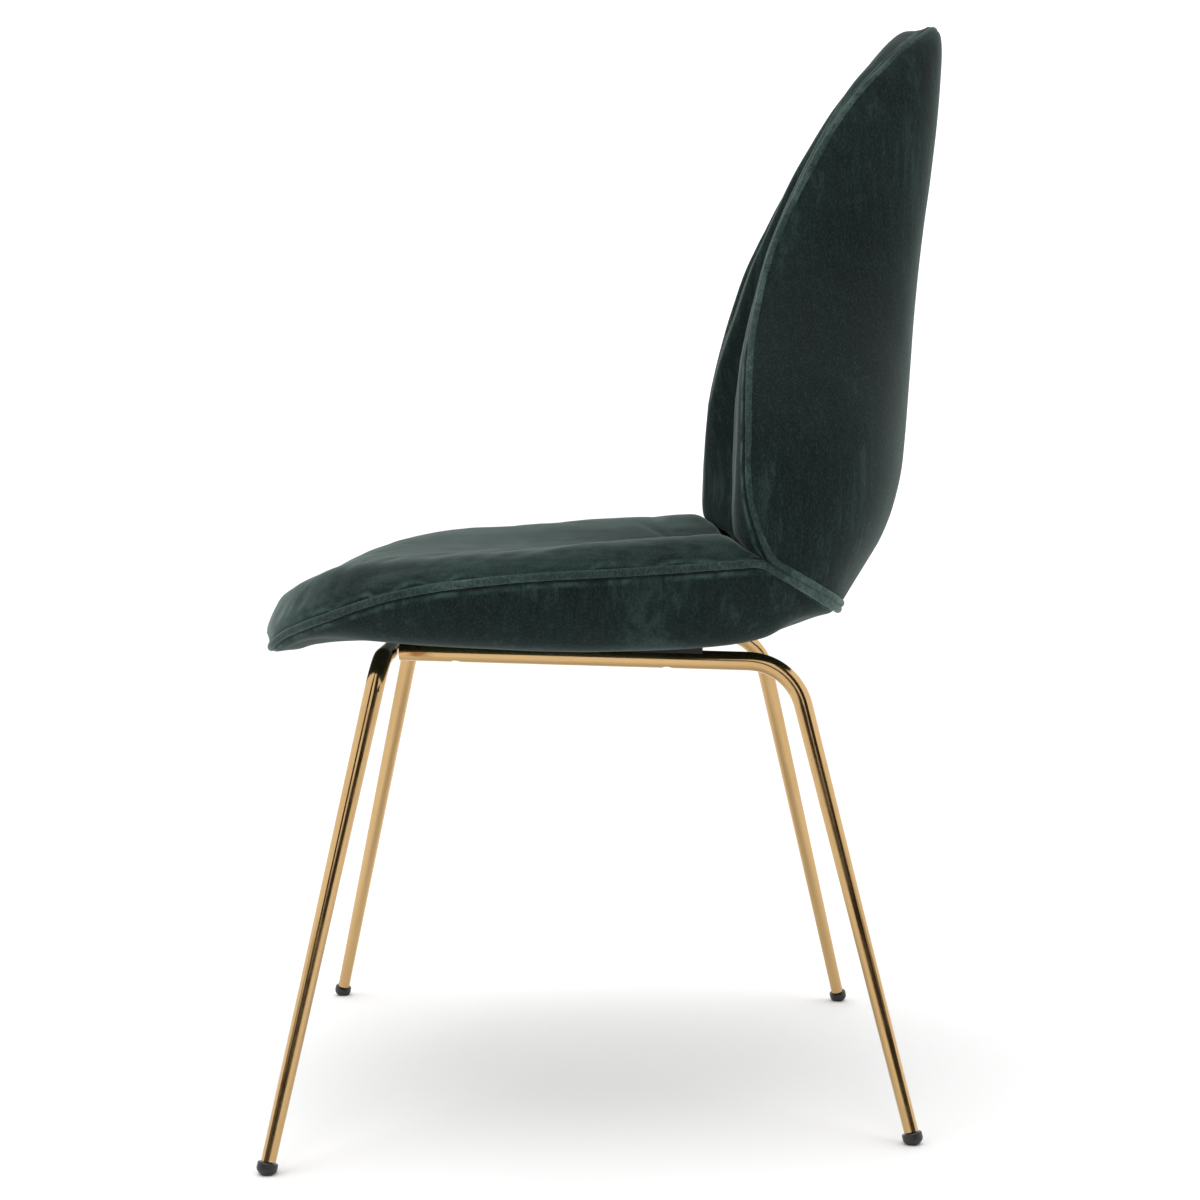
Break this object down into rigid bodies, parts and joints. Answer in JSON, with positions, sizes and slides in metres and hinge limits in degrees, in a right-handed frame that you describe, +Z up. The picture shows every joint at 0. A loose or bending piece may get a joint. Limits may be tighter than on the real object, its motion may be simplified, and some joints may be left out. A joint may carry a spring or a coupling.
{
  "type": "dining chair",
  "caption": "Armless upholstered dining chair with a dark green velvet bucket seat, a tall tapering scooped back and splayed tapered brass tube legs.",
  "frame": {"origin": "middle of the chair's overall box, at floor level", "axes": "+Z up; the sitter faces -Y; +X is the sitter's left hand side"},
  "size_m": [0.5396, 0.5634, 0.8694],
  "materials": {
    "brass_tube": "polished, warm gold",
    "glide": "satin",
    "spacer": "matt",
    "fastener": "zinc plated",
    "bracket": "plain steel",
    "velvet": "short pile velvet, dark bottle green",
    "piping": "velvet covered cord, dark bottle green",
    "plywood": "moulded plywood, unfinished",
    "foam": "cut foam"
  },
  "bodies": {
    "root": {"front_leg_left": "brass_tube", "front_leg_right": "brass_tube", "front_crossbar": "brass_tube", "rear_leg_left": "brass_tube", "rear_leg_right": "brass_tube", "glide_front_left": "glide", "glide_front_right": "glide", "glide_rear_left": "glide", "glide_rear_right": "glide", "rail_spacer_left": "spacer", "rail_spacer_right": "spacer", "frame_screws": "fastener", "tee_nuts": "fastener", "seat_welt": "piping", "back_welt": "piping", "joint_bracket_left": "bracket", "joint_bracket_right": "bracket", "joint_screws": "fastener", "seat_outer_cover": "velvet", "seat_shell": "plywood", "seat_foam": "foam", "seat_inner_cover": "velvet", "back_outer_cover": "velvet", "back_shell": "plywood", "back_foam": "foam", "back_inner_cover": "velvet"}
  },
  "joints": []
}
